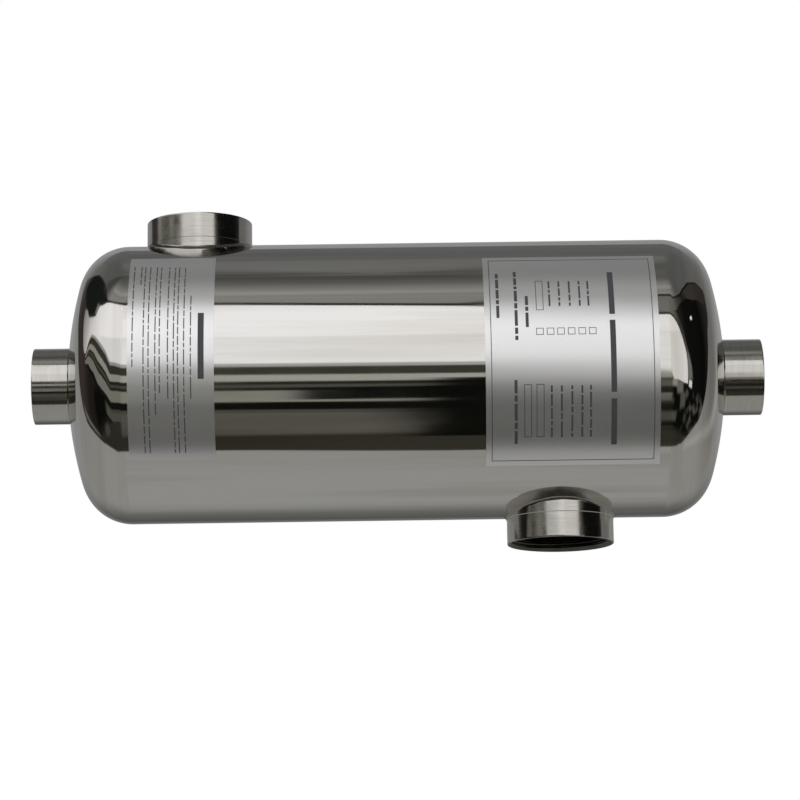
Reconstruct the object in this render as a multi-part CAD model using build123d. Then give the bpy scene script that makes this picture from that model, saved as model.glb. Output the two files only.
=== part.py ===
from build123d import *
import math
import os

# Shell and tube heat exchanger for pool water, all stainless steel, in millimetres.
# The model is drawn about the shell's own axis, along X, with the middle of the straight
# run at the origin. At the end it is lifted so that the origin lies on the lower pool
# socket's end face, in the middle of its mouth, with +Z up.

# Shell: a plain tube between two dished heads, butt welded and polished flush
shell_outer_diameter = 133.0
shell_wall = 1.5
shell_tube_length = 248.0
girth_weld_root_width = 1.0
girth_weld_face_width = 2.6

# Dished heads: a short straight skirt, a knuckle and a shallow crown
head_skirt_length = 1.5
head_knuckle_radius = 24.0
head_crown_radius = 175.0

# Pool water sockets, 1 1/2 in pipe thread, one up near the left end and one down
pool_thread_diameter = 47.8
pool_socket_wall = 1.4
pool_socket_length = 20.0
upper_pool_socket_stand_out = 12.5
lower_pool_socket_stand_out = 13.2
pool_socket_turned_length = 11.8
pool_socket_turned_depth = 0.3
pool_mouth_chamfer = 0.4
pool_weld_leg = 1.5
upper_pool_socket_from_left = 32.5
lower_pool_socket_from_right = 49.6

# Boiler water sockets, 1 in pipe thread, one in the crown of each head
boiler_thread_diameter = 33.2
boiler_socket_wall = 1.6
boiler_socket_length = 20.0
boiler_mouth_chamfer = 0.4
boiler_weld_leg = 1.2
left_boiler_socket_stand_out = 16.6
right_boiler_socket_stand_out = 18.1

# Break on the outer edge of every socket's mouth
socket_edge_break = 0.3

# Tube bundle: a hexagon of straight tubes between two tube sheets, with two baffles
tube_diameter = 16.0
tube_wall = 0.8
tube_pitch = 22.0
tube_rings = 2
tube_projection = 1.5
tube_hole_clearance = 0.1
tube_sheet_thickness = 4.0
tube_sheet_clearance = 0.1
baffle_thickness = 1.5
baffle_clearance = 0.5

# Two foil plates stuck on the front of the shell, given as arc lengths round it
plate_thickness = 0.2
plate_glue_thickness = 0.1
data_plate_width = 80.3
data_plate_height = 111.2
data_plate_from_right = 5.5
data_plate_raise = 0.0
notice_plate_width = 39.9
notice_plate_height = 109.0
notice_plate_from_left = 2.6
notice_plate_raise = 5.0

# Sizes that follow
shell_radius = shell_outer_diameter / 2
shell_bore_radius = shell_radius - shell_wall
girth_weld_centre = shell_tube_length / 2 + girth_weld_root_width / 2
head_start = shell_tube_length / 2 + girth_weld_root_width
tangent_line = head_start + head_skirt_length
crown_spread = math.asin((shell_radius - head_knuckle_radius) / (head_crown_radius - head_knuckle_radius))
crown_centre = tangent_line - (head_crown_radius - head_knuckle_radius) * math.cos(crown_spread)
head_apex = crown_centre + head_crown_radius
pool_thread_radius = pool_thread_diameter / 2
pool_socket_radius = pool_thread_radius + pool_socket_wall
pool_spigot_radius = pool_socket_radius + pool_socket_turned_depth
upper_mouth = shell_radius + upper_pool_socket_stand_out
lower_mouth = shell_radius + lower_pool_socket_stand_out
upper_pool_socket_x = -tangent_line + upper_pool_socket_from_left
lower_pool_socket_x = tangent_line - lower_pool_socket_from_right
boiler_thread_radius = boiler_thread_diameter / 2
boiler_socket_radius = boiler_thread_radius + boiler_socket_wall
left_mouth = head_apex + left_boiler_socket_stand_out
right_mouth = head_apex + right_boiler_socket_stand_out
tube_radius = tube_diameter / 2
tube_hole_radius = tube_radius + tube_hole_clearance
tube_row_pitch = tube_pitch * math.sqrt(3) / 2
tube_length = 2 * girth_weld_centre + tube_sheet_thickness + 2 * tube_projection
baffle_spacing = (lower_pool_socket_x - upper_pool_socket_x) / 3
baffle_edge_height = (tube_rings - 0.5) * tube_row_pitch

# Frames for the pieces: the left end is the right end turned half round about Z
right_end = Location((0, 0, 0))
left_end = Location((0, 0, 0), (0, 0, 180))
upper_side = Location((upper_pool_socket_x, 0, 0))
lower_side = Location((lower_pool_socket_x, 0, 0), (180, 0, 0))


def bar_along_x(radius, start, end):
    """Solid round bar on the shell's axis from start to end."""
    disc = Plane.YZ.offset(start) * Circle(radius)
    return extrude(disc, end - start)


def dome(depth):
    """The right head as a solid, its whole surface set in by depth."""
    outside = shell_radius - depth
    knuckle = head_knuckle_radius - depth
    crown = head_crown_radius - depth
    spread = math.degrees(crown_spread)
    skirt = Line((head_start, outside), (tangent_line, outside))
    corner = CenterArc((tangent_line, outside - knuckle), knuckle, 90, spread - 90)
    cap = CenterArc((crown_centre, 0), crown, spread, -spread)
    axis_line = Line((crown_centre + crown, 0), (head_start, 0))
    end_line = Line((head_start, 0), (head_start, outside))
    return revolve(make_face([skirt, corner, cap, axis_line, end_line]), Axis.X)


def girth_weld():
    """V-shaped butt weld between the tube and the right head, flush inside and out."""
    root = girth_weld_root_width / 2
    face = girth_weld_face_width / 2
    section = Polyline(
        (girth_weld_centre - root, shell_bore_radius),
        (girth_weld_centre + root, shell_bore_radius),
        (girth_weld_centre + face, shell_radius),
        (girth_weld_centre - face, shell_radius),
        close=True,
    )
    return revolve(make_face(section), Axis.X)


def socket(section_points, mouth):
    """Turned threaded ring about Z, its mouth at the given height."""
    section = Polyline(*section_points, close=True)
    return Pos(0, 0, mouth) * revolve(make_face(Plane.XZ * section), Axis.Z)


def pool_socket(mouth):
    """Ring for the pool water pipe, standing on the shell along +Z."""
    points = [
        (pool_thread_radius + pool_mouth_chamfer, 0),
        (pool_socket_radius - socket_edge_break, 0),
        (pool_socket_radius, -socket_edge_break),
        (pool_socket_radius, -pool_socket_turned_length),
        (pool_spigot_radius, -pool_socket_turned_length - pool_socket_turned_depth),
        (pool_spigot_radius, -pool_socket_length),
        (pool_thread_radius, -pool_socket_length),
        (pool_thread_radius, -pool_mouth_chamfer),
    ]
    return socket(points, mouth)


def boiler_socket(mouth):
    """Ring for the boiler water pipe, in the crown of the right head along +X."""
    points = [
        (boiler_thread_radius + boiler_mouth_chamfer, 0),
        (boiler_socket_radius - socket_edge_break, 0),
        (boiler_socket_radius, -socket_edge_break),
        (boiler_socket_radius, -boiler_socket_length),
        (boiler_thread_radius, -boiler_socket_length),
        (boiler_thread_radius, -boiler_mouth_chamfer),
    ]
    return Rot(0, 90, 0) * socket(points, mouth)


def weld_bead(body, branch, leg):
    """Flat-faced bead round the corner where the branch stands out of the body."""
    joined = body + branch
    corner = new_edges(body, branch, combined=joined)
    return chamfer(corner, leg) - body - branch


def pool_spigot():
    """Round bar as wide as the pool socket's foot, from the shell's axis outwards."""
    return extrude(Circle(pool_spigot_radius), shell_outer_diameter)


def pool_socket_weld():
    """Saddle-shaped weld bead between the shell and an upright pool socket."""
    shell_bar = bar_along_x(shell_radius, -shell_outer_diameter, shell_outer_diameter)
    return weld_bead(shell_bar, pool_spigot(), pool_weld_leg)


def boiler_socket_weld():
    """Round weld bead between the right head and its socket."""
    branch = bar_along_x(boiler_socket_radius, head_start, right_mouth)
    return weld_bead(dome(0), branch, boiler_weld_leg)


def shell_tube():
    """The straight tube with a hole for each pool socket and both ends bevelled."""
    half = shell_tube_length / 2
    tube = bar_along_x(shell_radius, -half, half) - bar_along_x(shell_bore_radius, -half, half)
    tube -= upper_side * pool_spigot()
    tube -= lower_side * pool_spigot()
    tube -= right_end * girth_weld()
    tube -= left_end * girth_weld()
    return tube


def head():
    """The right dished head, bevelled for the girth weld, with its socket hole."""
    hole = bar_along_x(boiler_socket_radius, head_start, right_mouth)
    return dome(0) - dome(shell_wall) - hole - girth_weld()


def tube_places():
    """Y and Z of every tube: a hexagon of rows, from the top row down."""
    places = []
    for row in range(tube_rings, -tube_rings - 1, -1):
        tubes_in_row = 2 * tube_rings + 1 - abs(row)
        for column in range(tubes_in_row):
            y = (column - (tubes_in_row - 1) / 2) * tube_pitch
            places.append((y, row * tube_row_pitch))
    return places


def drilled_disc(radius, thickness):
    """Round plate across the shell with a hole for every tube, centred on X 0."""
    disc = bar_along_x(radius, -thickness / 2, thickness / 2)
    holes = [
        Pos(0, y, z) * bar_along_x(tube_hole_radius, -thickness, thickness)
        for y, z in tube_places()
    ]
    return disc - holes


def tube_sheet():
    """Disc behind the right girth weld that the tubes end in."""
    disc = drilled_disc(shell_bore_radius - tube_sheet_clearance, tube_sheet_thickness)
    return Pos(girth_weld_centre, 0, 0) * disc


def baffle():
    """Disc with its foot cut off, which sends the pool water across the tubes."""
    disc = drilled_disc(shell_bore_radius - baffle_clearance, baffle_thickness)
    window = Pos(0, 0, -baffle_edge_height - shell_radius / 2) * Box(
        2 * baffle_thickness, shell_outer_diameter, shell_radius
    )
    return disc - window


def heating_tube():
    """One straight thin-walled tube, a little longer than the tube sheets stand apart."""
    half = tube_length / 2
    return bar_along_x(tube_radius, -half, half) - bar_along_x(tube_radius - tube_wall, -half, half)


def foil_plate(left_edge, width, height, raise_by):
    """Thin plate bent round the front of the shell, on the -Y side."""
    middle_radius = shell_radius + plate_glue_thickness + plate_thickness / 2
    strip = Pos(left_edge + width / 2, middle_radius) * Rectangle(width, plate_thickness)
    span = math.degrees(height / shell_radius)
    middle = math.degrees(raise_by / shell_radius)
    bent = revolve(strip, Axis.X, span)
    return Rot(180 - span / 2 - middle, 0, 0) * bent


pieces = {
    "shell_tube": shell_tube(),
    "left_head": left_end * head(),
    "right_head": right_end * head(),
    "left_girth_weld": left_end * girth_weld(),
    "right_girth_weld": right_end * girth_weld(),
    "upper_pool_socket": upper_side * pool_socket(upper_mouth),
    "lower_pool_socket": lower_side * pool_socket(lower_mouth),
    "upper_pool_socket_weld": upper_side * pool_socket_weld(),
    "lower_pool_socket_weld": lower_side * pool_socket_weld(),
    "left_boiler_socket": left_end * boiler_socket(left_mouth),
    "right_boiler_socket": right_end * boiler_socket(right_mouth),
    "left_boiler_socket_weld": left_end * boiler_socket_weld(),
    "right_boiler_socket_weld": right_end * boiler_socket_weld(),
    "left_tube_sheet": left_end * tube_sheet(),
    "right_tube_sheet": right_end * tube_sheet(),
    "left_baffle": Pos(upper_pool_socket_x + baffle_spacing, 0, 0) * baffle(),
    "right_baffle": Pos(lower_pool_socket_x - baffle_spacing, 0, 0) * Rot(180, 0, 0) * baffle(),
    "data_plate": foil_plate(
        tangent_line - data_plate_from_right - data_plate_width,
        data_plate_width,
        data_plate_height,
        data_plate_raise,
    ),
    "notice_plate": foil_plate(
        -tangent_line + notice_plate_from_left,
        notice_plate_width,
        notice_plate_height,
        notice_plate_raise,
    ),
}
for number, (y, z) in enumerate(tube_places(), start=1):
    pieces[f"heating_tube_{number:02d}"] = Pos(0, y, z) * heating_tube()

os.makedirs("parts", exist_ok=True)
on_socket_face = Location((-lower_pool_socket_x, 0, lower_mouth))
for name, piece in pieces.items():
    export_step(on_socket_face * piece, f"parts/{name}.step")
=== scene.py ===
import bpy
import bmesh
import math
from mathutils import Matrix, Vector


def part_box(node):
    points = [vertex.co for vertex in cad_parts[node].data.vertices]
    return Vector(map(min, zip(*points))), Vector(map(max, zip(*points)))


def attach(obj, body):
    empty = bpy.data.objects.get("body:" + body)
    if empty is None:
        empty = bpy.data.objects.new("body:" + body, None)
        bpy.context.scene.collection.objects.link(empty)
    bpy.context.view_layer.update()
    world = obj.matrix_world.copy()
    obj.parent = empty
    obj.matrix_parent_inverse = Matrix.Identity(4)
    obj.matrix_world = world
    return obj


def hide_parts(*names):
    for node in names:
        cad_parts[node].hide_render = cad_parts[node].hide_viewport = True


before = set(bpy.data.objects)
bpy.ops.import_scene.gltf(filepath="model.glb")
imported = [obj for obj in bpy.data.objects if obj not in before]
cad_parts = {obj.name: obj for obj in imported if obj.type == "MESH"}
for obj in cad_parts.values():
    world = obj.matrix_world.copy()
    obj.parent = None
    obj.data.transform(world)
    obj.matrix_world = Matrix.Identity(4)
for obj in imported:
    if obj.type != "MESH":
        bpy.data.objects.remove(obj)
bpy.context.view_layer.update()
mm = 0.001
scene = bpy.context.scene
scene.view_settings.view_transform = "Standard"

# The shell's own middle is where the sizes below are counted from
shellLow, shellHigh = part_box("shell_tube")
shellCentre = (shellLow + shellHigh) / 2
shellRadius = (shellHigh.z - shellLow.z) / 2


def linearColour(code, alpha=1.0):
    # sRGB hex to the linear values that Blender's sockets take
    channels = [int(code[place:place + 2], 16) / 255 for place in (1, 3, 5)]
    linear = [c / 12.92 if c <= 0.04045 else ((c + 0.055) / 1.055) ** 2.4 for c in channels]
    return (*linear, alpha)


def addNode(tree, kind, settings=None):
    # settings are the node's own properties, its inputs' values or the sockets that feed them
    node = tree.nodes.new(kind)
    for name, value in (settings or {}).items():
        if not (isinstance(name, int) or name in node.inputs):
            setattr(node, name, value)
        elif isinstance(value, bpy.types.NodeSocket):
            tree.links.new(value, node.inputs[name])
        else:
            node.inputs[name].default_value = value
    return node


def newMaterial(name):
    material = bpy.data.materials.new(name)
    material.use_nodes = True
    tree = material.node_tree
    shader = next(node for node in tree.nodes if node.type == "BSDF_PRINCIPLED")
    return material, tree, shader


# Camera: a long lens, a little below the shell's axis and looking up at it
cameraValues = {
    "distance": 1500.0,
    "elevation": -11.63,
    "yaw": 0.35,
    "roll": -0.87,
    "lens": 140.67,
    "aimAcross": 1.79,
    "aimUp": -8.62,
}


def placeCamera(values):
    elevation = math.radians(values["elevation"])
    yaw = math.radians(values["yaw"])
    roll = math.radians(values["roll"])
    towards = Vector((
        -math.sin(yaw) * math.cos(elevation),
        -math.cos(yaw) * math.cos(elevation),
        math.sin(elevation),
    ))
    place = shellCentre + towards * values["distance"] * mm

    def axes(forward):
        across = forward.cross(Vector((0, 0, 1))).normalized()
        upward = across.cross(forward)
        right = across * math.cos(roll) + upward * math.sin(roll)
        return right, upward * math.cos(roll) - across * math.sin(roll)

    right, upward = axes(-towards)
    target = shellCentre + (right * values["aimAcross"] + upward * values["aimUp"]) * mm
    forward = (target - place).normalized()
    right, upward = axes(forward)
    data = bpy.data.cameras.new("camera")
    data.lens = values["lens"]
    data.sensor_width = 36.0
    data.clip_start = 0.05
    data.clip_end = 100.0
    camera = bpy.data.objects.new("camera", data)
    scene.collection.objects.link(camera)
    turned = Matrix((right, upward, -forward)).transposed().to_4x4()
    camera.matrix_world = Matrix.Translation(place) @ turned
    scene.camera = camera


placeCamera(cameraValues)
print("camera placed")

# The room that the polished steel mirrors. Directions are in degrees: azimuth 0 is the
# front of the object and grows to its right, elevation 90 is overhead. An edge is a line
# through points of (azimuth, elevation). Tones are as they look in the steel.
room = {
    "steelTint": "#cfcecb",
    "wobble": 0.9,
    "wobbleScale": 2.6,
    "windowTop": [
        (-118, 30), (-110, 32.5), (-100, 31.5), (-90, 34), (-80, 37.5), (-77, 46), (-70, 48.5), (-60, 53.5),
        (-50, 55.5), (-30, 57.5), (-10, 57.9), (-4.7, 56.7), (0, 54.4), (3.3, 52.3), (4.6, 50), (5.4, 44),
        (7, 42.5), (10, 41), (15, 38.5), (20, 34.5), (25, 29), (30, 22), (36, 13), (39, 5), (41, -13),
    ],
    "windowFoot": [
        (-118, 29), (-115, 25), (-110, 21.5), (-105, 17), (-100, 15), (-95, 15.5), (-90, 20), (-85, 24),
        (-80, 26), (-70, 25.8), (-60, 24), (-50, 21), (-40, 17), (-35, 12.5), (-30, 8.5), (-6, 5.6), (3, 4),
        (5.2, -6), (8, -12), (20, -12), (33, -13), (41, -13),
    ],
    "wallTop": [
        (-148, 28), (-140, 37), (-130, 48.5), (-120, 54), (-110, 57.5), (-100, 60), (-80, 61), (-70, 57.5),
        (-60, 56), (-50, 57.5), (-30, 59.5), (-10, 60.2), (-4.7, 59.1), (0, 56.8), (3.3, 54.9), (5.4, 62),
        (14, 61), (22, 58), (45, 57.5), (62, 59), (80, 57.5), (90, 56), (100, 51), (110, 46), (121, 33),
    ],
    "wallFoot": [
        (-148, 28), (-140, 19), (-130, 16), (-120, 8), (-110, -2), (-100, -13.5), (-90, -23.5), (-80, -33),
        (-70, -44), (-60, -52), (-50, -57.5), (-40, -62.5), (-30, -65), (-6, -67.2), (-3, -68.5), (0, -69.5),
        (4, -70.2), (25, -67.5), (34, -66),
        (40, -63.5), (50, -60), (60, -50.5), (70, -38), (80, -27), (90, -6), (96, 8), (103, 20), (112, 24),
        (121, 33),
    ],
    "blackTop": [
        (4, 44), (20, 45), (25, 44.5), (30, 47), (40, 49.5), (60, 50), (70, 47.5), (80, 43.5), (90, 40.5),
        (100, 35), (110, 30), (121, 31),
    ],
    "revealEdge": [
        (5, 50), (22, 44), (28, 38), (33, 30), (37, 20), (41, 12), (46, 5), (50, 0), (52.5, -5), (53, -12),
    ],
    "stripeScale": [
        (-97, 0.1), (-90, 0.3), (-80, 0.58), (-70, 0.7), (-60, 0.9), (-50, 0.98), (-40, 1.05), (-30, 1.0),
    ],
    "around": [
        (-90, "#8b8985"), (-50, "#86847f"), (0, "#7f7e7a"), (20, "#787774"), (40, "#5f5f5c"), (60, "#50504e"),
        (90, "#545450"),
    ],
    "aboveFront": [
        (59, "#7d7c77"), (63.5, "#7e7d77"), (65, "#74736e"), (66.5, "#84837d"), (68.5, "#8c8b85"),
        (71, "#7c7b75"), (75, "#6c6b66"), (78, "#5d5c58"), (81.5, "#52514d"), (85, "#454441"),
        (87, "#4a4946"), (88.5, "#63625f"),
    ],
    "back": [
        (-90, "#8d8a86"), (-54, "#8a8985"), (-44, "#80807d"), (-32, "#61605d"), (-16, "#4a4a48"),
        (2, "#6a6a69"), (12, "#808080"), (41, "#818181"), (43, "#585857"), (68, "#595856"),
        (71, "#63625f"), (89, "#676764"),
    ],
    "wall": [
        (-148, "#4a4340"), (-130, "#332d2b"), (-105, "#342f2c"), (-95, "#2d2826"), (-85, "#1f1b18"),
        (-60, "#1b1814"), (-8, "#1b1813"), (6, "#24221d"), (32, "#1d1c17"), (42, "#0d0d0c"), (84, "#0c0c0b"),
        (92, "#1a1918"), (121, "#2b2a28"),
    ],
    "wallLow": [
        (-75, "#2e2b27"), (-60, "#282520"), (-12, "#2c2a25"), (-6, "#504e45"), (1, "#55534a"), (4, "#36352d"),
        (8, "#1d1c17"), (30, "#191813"), (40, "#23221b"), (65, "#2c2b24"),
    ],
    "wallLowest": [(-60, "#262420"), (-8, "#2b2923"), (0, "#302e26"), (40, "#292820")],
    "overBlackLeft": 3.6,
    "overBlack": [
        (0, "#6b6a64"), (20, "#5f5e58"), (30, "#403f3b"), (40, "#33322f"), (49, "#1c1b19"), (57, "#242320"),
        (65, "#34312d"), (100, "#2f2c29"), (121, "#2e2c29"),
    ],
    "revealFoot": -9,
    "reveal": [
        (5, "#6b6963"), (12, "#64625c"), (20, "#504f4a"), (27, "#33322e"), (34, "#35342f"), (39, "#4a4944"),
        (43, "#6a6963"), (48, "#66655e"), (53, "#3a3935"),
    ],
    "upperLeft": {"left": -138, "right": -60, "above": 31, "tone": "#161816"},
    "frontCeiling": {"left": -62, "right": 26, "above": 4, "soft": 26},
    "backWall": {"beyond": 155, "soft": 30},
    "lowWall": {"below": -38, "lowestBelow": -54},
    "frameShade": {"tone": "#1a1813", "right": -7, "strength": 0.24},
    "frameTop": {"left": 4.6, "right": 25, "tone": "#34332f", "height": 2.4},
    "sill": {"left": -96, "right": 4.4, "depth": 36, "deepLeft": -44, "deepest": 47},
    "stripeSoft": 0.35,
    "stripes": [
        (0, "#9b9a92"), (2.7, "#33322b"), (9.3, "#96958b"), (14.7, "#221f1a"), (17.3, "#47453e"),
        (19.6, "#221f1a"), (22.0, "#7a7970"), (31.2, "#100e0b"), (37.3, "#45433d"), (40.0, "#514f48"),
    ],
    "window": [
        (-118, "#6f6e6b"), (-108, "#8f8e8a"), (-100, "#9f9e9a"), (-90, "#bfbcb8"), (-80, "#d0cdca"),
        (-65, "#d9d6d3"), (-45, "#e2dfdc"), (-8, "#e3e0de"), (-4, "#e8e6e4"), (4, "#e8e6e3"),
        (8, "#dddad7"), (40, "#d4d1cd"),
    ],
    "windowLow": [
        (-60, "#cfccc9"), (-10, "#d0cecb"), (-4, "#dedcd9"), (4, "#dedcd8"), (8, "#ccc9c5"), (40, "#d0cdc9"),
    ],
    "lowPane": {"left": -60, "right": 90, "below": 27.5, "soft": 20},
    "clutter": {
        "left": 7, "right": 97, "bottom": -52, "top": -15, "soft": 6,
        "scale": 7.0, "dark": "#0a0a08", "light": "#4a4942",
    },
    "flagTone": "#0b0c09",
    "flags": [  # black cards
        {"left": -72, "right": -42, "bottom": -32, "top": -6, "soft": 9},
        {"left": -1.5, "right": 4.4, "bottom": -24.8, "top": -15, "soft": 0.5, "overSill": True},
        {"left": 1.0, "right": 4.4, "bottom": -57, "top": -8.5, "soft": 0.8, "overSill": True},
        {"left": 9, "right": 25, "bottom": -37, "top": -23, "soft": 4},
        {"left": 18, "right": 33, "bottom": -52, "top": -35, "soft": 6},
    ],
    "patches": [
        ({"left": -97, "right": -72, "bottom": 60, "top": 95, "soft": 12}, "#3f3f3c"),
        ({"left": -56, "right": -44, "bottom": -45, "top": -36, "soft": 6}, "#3e3c39"),
        ({"left": 4.4, "right": 7, "bottom": -11, "top": -1, "soft": 2.5}, "#8f8b81"),
        ({"left": 4.4, "right": 6.5, "bottom": -29, "top": -23, "soft": 1.2}, "#64625a"),
        ({"left": 6, "right": 18, "bottom": -17.5, "top": -12, "soft": 3}, "#8a867c"),
        ({"left": 16, "right": 30, "bottom": -22, "top": -12.5, "soft": 4}, "#66645c"),
        ({"left": 26, "right": 37, "bottom": -32, "top": -21, "soft": 5}, "#4c4b45"),
        ({"left": 6, "right": 16, "bottom": -46, "top": -38, "soft": 4}, "#4b4a44"),
        ({"left": 37, "right": 44, "bottom": -43, "top": -36, "soft": 5}, "#36352f"),
        ({"left": 33.5, "right": 42.5, "bottom": -13, "top": -2, "soft": 1.6}, "#1c1b18"),
        ({"left": 43.5, "right": 51, "bottom": -14.5, "top": -9.5, "soft": 1.2}, "#c9c8c3"),
        ({"left": 57.5, "right": 62.5, "bottom": 33, "top": 35.4, "soft": 1.6}, "#dedede"),
        ({"left": -85, "right": -77.5, "bottom": 38, "top": 46, "soft": 3}, "#6b6b67"),
    ],
    "shadeRight": {"left": 92, "right": 128, "bottom": -14, "top": 40, "soft": 30, "tone": "#52514f",
        "strength": 0.55},
    "streakRight": {
        "line": [(66, -56), (80, -44), (95, -29), (110, -16), (124, -2), (135, 8)],
        "left": 62, "right": 138, "ends": 8, "halfWidth": 3.5, "soft": 11.0, "tone": "#969490",
    },
    "seamLeft": {"left": -103, "right": -73, "from": 3.0, "to": 6.0, "tone": "#605c58"},
}


def makeRoom(values):
    farBelow = -200.0  # past every angle, so the mask has no lower edge
    world = bpy.data.worlds.new("room_with_window")
    world.use_nodes = True
    scene.world = world
    tree = world.node_tree
    tree.nodes.clear()
    tint = linearColour(values["steelTint"])

    def tone(code):
        return tuple(light / (part / tint[1]) for light, part in zip(linearColour(code), tint))

    # azimuth and elevation of the mirrored direction, shaken a little so that edges wander
    direction = addNode(tree, "ShaderNodeTexCoord").outputs["Generated"]
    turned = addNode(tree, "ShaderNodeMapping", {0: direction, "Scale": (1.0, -1.0, 1.0)}).outputs[0]
    cloud = addNode(tree, "ShaderNodeTexNoise", {0: direction, "Scale": values["wobbleScale"], "Detail": 3.0})
    shaken = {0: cloud.outputs["Fac"], 3: -values["wobble"], 4: values["wobble"]}
    shake = addNode(tree, "ShaderNodeMapRange", shaken).outputs[0]
    axes = addNode(tree, "ShaderNodeSeparateXYZ", {0: turned}).outputs
    turn = addNode(tree, "ShaderNodeMath", {"operation": "ARCTAN2", 0: axes["X"], 1: axes["Y"]}).outputs[0]
    rise = addNode(tree, "ShaderNodeMath", {"operation": "ARCSINE", 0: axes["Z"]}).outputs[0]
    degrees = {"operation": "MULTIPLY_ADD", 1: math.degrees(1), 2: shake}
    azimuth = addNode(tree, "ShaderNodeMath", {**degrees, 0: turn}).outputs[0]
    elevation = addNode(tree, "ShaderNodeMath", {**degrees, 0: rise}).outputs[0]
    sideways = addNode(tree, "ShaderNodeMath", {"operation": "ABSOLUTE", 0: azimuth}).outputs[0]

    def beyond(coordinate, edge, soft=0.6, within=1.0):
        # a mask with a soft edge: 0 before the edge, after it the mask that it lies within
        ends = {"interpolation_type": "SMOOTHSTEP", 1: edge - soft / 2, 2: edge + soft / 2}
        return addNode(tree, "ShaderNodeMapRange", {**ends, 0: coordinate, 3: 0.0, 4: within}).outputs[0]

    def between(coordinate, low, high, soft=0.6, within=1.0):
        first = beyond(coordinate, low, soft, within)
        ends = {"interpolation_type": "SMOOTHSTEP", 1: high - soft / 2, 2: high + soft / 2}
        return addNode(tree, "ShaderNodeMapRange", {**ends, 0: coordinate, 3: first, 4: 0.0}).outputs[0]

    def card(place, within=1.0):
        rising = between(elevation, place["bottom"], place["top"], place["soft"], within)
        return between(azimuth, place["left"], place["right"], place["soft"], rising)

    def alongEdge(points, soft, within):
        # a mask over the azimuths that an edge spans
        return between(azimuth, points[0][0], points[-1][0], soft, within)

    def stopsAlong(coordinate, low, high, stops):
        # stops are (position, colour), straight between them
        place = addNode(tree, "ShaderNodeMapRange", {0: coordinate, 1: low, 2: high}).outputs[0]
        node = addNode(tree, "ShaderNodeValToRGB", {0: place})
        elements = node.color_ramp.elements
        elements.remove(elements[1])
        for number, (position, colour) in enumerate(stops):
            share = (position - low) / (high - low)
            stop = elements[0] if number == 0 else elements.new(share)
            stop.position = share
            stop.color = colour
        return node.outputs[0]

    def tonesAlong(coordinate, low, high, tones):
        return stopsAlong(coordinate, low, high, [(at, tone(code)) for at, code in tones])

    def tonesRound(tones):
        return tonesAlong(azimuth, -180.0, 180.0, tones)

    def tonesUp(tones):
        return tonesAlong(elevation, -90.0, 90.0, tones)

    def heightOf(points, low=-90.0, high=90.0):
        # an edge's height at every azimuth
        stops = [(at, ((height - low) / (high - low),) * 3 + (1.0,)) for at, height in points]
        share = stopsAlong(azimuth, -180.0, 180.0, stops)
        stretched = {"operation": "MULTIPLY_ADD", 0: share, 1: high - low, 2: low}
        return addNode(tree, "ShaderNodeMath", stretched).outputs[0]

    def degreesOver(points):
        height = heightOf(points)
        return addNode(tree, "ShaderNodeMath", {"operation": "SUBTRACT", 0: elevation, 1: height}).outputs[0]

    def painted(under, cover, mask):
        cover = tone(cover) if isinstance(cover, str) else cover
        return addNode(tree, "ShaderNodeMix", {"data_type": "RGBA", 0: mask, 6: under, 7: cover}).outputs[2]

    # the light walls and ceiling all round
    picture = tonesUp(values["around"])
    front = tonesUp(values["aboveFront"])
    ceiling = values["frontCeiling"]
    above = beyond(elevation, ceiling["above"])
    ceilingMask = between(azimuth, ceiling["left"], ceiling["right"], ceiling["soft"], above)
    picture = painted(picture, front, ceilingMask)
    back = tonesUp(values["back"])
    behind = values["backWall"]
    picture = painted(picture, back, beyond(sideways, behind["beyond"], behind["soft"]))
    shade = values["shadeRight"]
    picture = painted(picture, shade["tone"], card(shade, shade["strength"]))
    streak = values["streakRight"]
    half = streak["halfWidth"]
    nearStreak = between(degreesOver(streak["line"]), -half, half, streak["soft"])
    streakMask = between(azimuth, streak["left"], streak["right"], streak["ends"], nearStreak)
    picture = painted(picture, streak["tone"], streakMask)

    # the dark wall behind the camera
    overWallTop = degreesOver(values["wallTop"])
    overWallFoot = degreesOver(values["wallFoot"])
    wallMask = between(overWallTop, farBelow, 0.0, 1.2, beyond(overWallFoot, 0.0, 1.2))
    wall = tonesRound(values["wall"])
    low = tonesRound(values["wallLow"])
    lowest = tonesRound(values["wallLowest"])
    wall = painted(wall, low, between(elevation, farBelow, values["lowWall"]["below"], 3.0))
    wall = painted(wall, lowest, between(elevation, farBelow, values["lowWall"]["lowestBelow"], 4.0))
    clutter = values["clutter"]
    heap = {0: direction, "Scale": clutter["scale"], "Detail": 4.0}
    things = addNode(tree, "ShaderNodeTexNoise", heap).outputs[0]
    shades = [(0.4, clutter["dark"]), (0.5, clutter["dark"]), (0.68, clutter["light"])]
    things = tonesAlong(things, 0.0, 1.0, shades)
    wall = painted(wall, things, card(clutter))
    seam = values["seamLeft"]
    seamMask = between(overWallFoot, seam["from"], seam["to"], 1.5)
    wall = painted(wall, seam["tone"], between(azimuth, seam["left"], seam["right"], 6.0, seamMask))
    picture = painted(picture, wall, wallMask)
    overBlack = tonesRound(values["overBlack"])
    belowTop = between(overWallTop, farBelow, -2.0, 1.5, beyond(degreesOver(values["blackTop"]), 0.0, 1.5))
    picture = painted(picture, overBlack, beyond(azimuth, values["overBlackLeft"], 1.0, belowTop))
    corner = values["upperLeft"]
    cornerMask = beyond(elevation, corner["above"], 3.0, between(overWallTop, farBelow, -1.0, 2.0))
    cornerMask = between(azimuth, corner["left"], corner["right"], 4.0, cornerMask)
    picture = painted(picture, corner["tone"], cornerMask)
    for place in values["flags"]:
        picture = painted(picture, values["flagTone"], card(place))

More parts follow.
